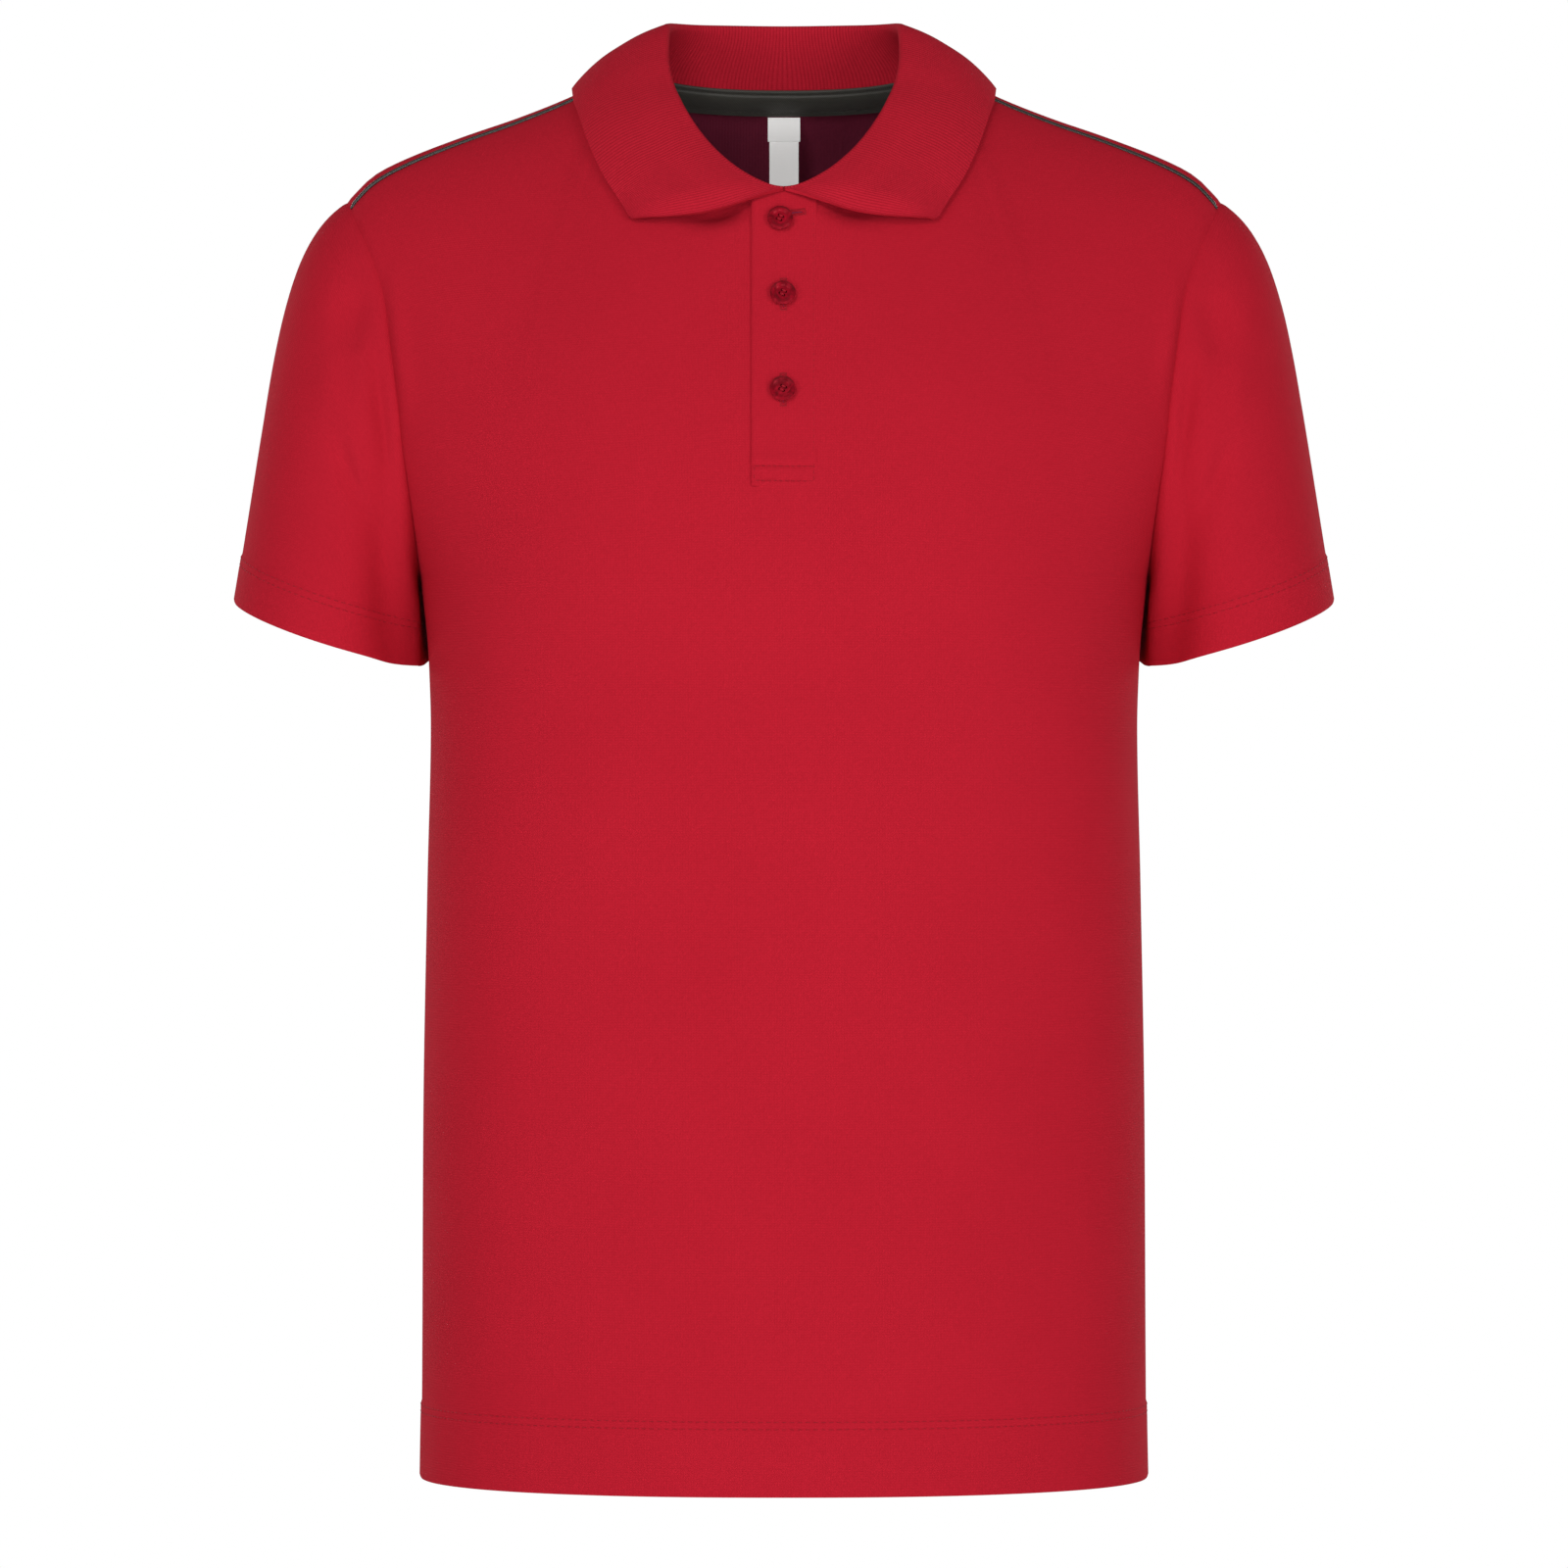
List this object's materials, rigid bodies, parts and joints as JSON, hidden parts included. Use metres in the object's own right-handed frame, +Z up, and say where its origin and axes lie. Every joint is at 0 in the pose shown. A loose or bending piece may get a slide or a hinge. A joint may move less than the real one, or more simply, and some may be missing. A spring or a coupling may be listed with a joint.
{
  "type": "polo shirt",
  "caption": "Child's short-sleeved knit polo shirt, hollow and filled out as when worn, with a folded rib collar, a buttoned placket and open neck, cuffs and hem.",
  "frame": {"origin": "middle of the neck opening, level with the points where the shoulder seams meet the collar", "axes": "+Z up the body, front faces -Y, +X towards the wearer's left"},
  "size_m": [0.4056, 0.1968, 0.5355],
  "materials": {
    "jersey": "soft matt red cotton knit",
    "rib": "matt red flat rib knit",
    "tape": "dark grey-green woven tape",
    "satin": "white woven satin",
    "resin": "polished red resin"
  },
  "bodies": {
    "root": {"front": "jersey", "back": "jersey", "sleeve_left": "jersey", "sleeve_right": "jersey", "placket_upper": "jersey", "placket_under": "jersey", "collar": "rib", "neck_tape": "tape", "piping_left": "tape", "piping_right": "tape", "name_label": "satin", "size_label": "satin", "button_top": "resin", "button_middle": "resin", "button_bottom": "resin"}
  },
  "joints": []
}
